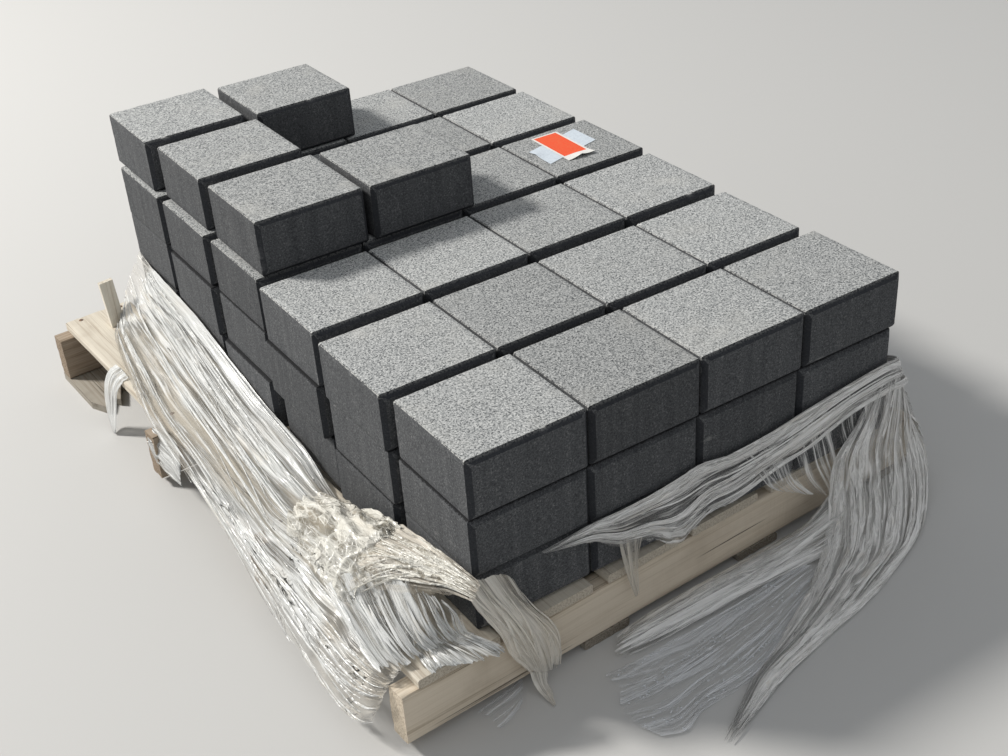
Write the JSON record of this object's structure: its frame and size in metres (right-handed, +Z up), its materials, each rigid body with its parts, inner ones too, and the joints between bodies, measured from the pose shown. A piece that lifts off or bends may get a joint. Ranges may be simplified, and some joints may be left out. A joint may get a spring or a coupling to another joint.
{
  "type": "pallet of concrete blocks",
  "caption": "Timber pallet carrying layers of square dark grey concrete blocks, part used, with torn stretch film round its foot.",
  "frame": {"origin": "on the ground, under the middle of the whole outline with the film", "axes": "+X along the stringers from the left end to the right, +Y along the deck boards from the front to the back, +Z up"},
  "size_m": [1.093, 1.5912, 0.52],
  "materials": {
    "concrete": "charcoal grey concrete, fine open grain, paler dusty top faces",
    "stringer_timber": "sawn softwood, tan, grain lines and rough end grain",
    "deck_timber": "sawn softwood bleached cream, rough",
    "bottom_timber": "weathered grey brown sawn softwood",
    "stretch_film": "crumpled translucent white stretch film with long folds",
    "sticker_paper": "matt orange sticker with a white border, bare of print",
    "strip_paper": "pale blue white paper strip"
  },
  "bodies": {
    "root": {"bottom_board_1": "bottom_timber", "bottom_board_2": "bottom_timber", "bottom_board_3": "bottom_timber", "bottom_board_4": "bottom_timber", "deck_board_1": "deck_timber", "deck_board_2": "deck_timber", "deck_board_3": "deck_timber", "deck_board_4": "deck_timber", "deck_board_5": "deck_timber", "deck_board_6": "deck_timber", "film_corner_loop": "stretch_film", "film_front_band": "stretch_film", "film_ground_bundle": "stretch_film", "film_ground_sheet": "stretch_film", "film_left_drape": "stretch_film", "film_left_skirt": "stretch_film", "film_right_drape": "stretch_film", "film_right_fan": "stretch_film", "film_strip_far": "stretch_film", "film_strip_near": "stretch_film", "film_trailing_strip": "stretch_film", "layer_1_row_1": "concrete", "layer_1_row_2": "concrete", "layer_1_row_3": "concrete", "layer_1_row_4": "concrete", "layer_1_row_5": "concrete", "layer_1_row_6": "concrete", "layer_2_row_1": "concrete", "layer_2_row_2": "concrete", "layer_2_row_3": "concrete", "layer_2_row_4": "concrete", "layer_2_row_5": "concrete", "layer_2_row_6": "concrete", "layer_3_row_1": "concrete", "layer_3_row_2": "concrete", "layer_3_row_3": "concrete", "layer_3_row_4": "concrete", "layer_3_row_5": "concrete", "layer_3_row_6": "concrete", "layer_4_row_4": "concrete", "layer_4_row_5": "concrete", "layer_4_row_6": "concrete", "paper_strip": "strip_paper", "sticker": "sticker_paper", "stringer_1": "stringer_timber", "stringer_2": "stringer_timber", "stringer_3": "stringer_timber", "stringer_4": "stringer_timber", "upright_lath": "deck_timber"}
  },
  "joints": []
}
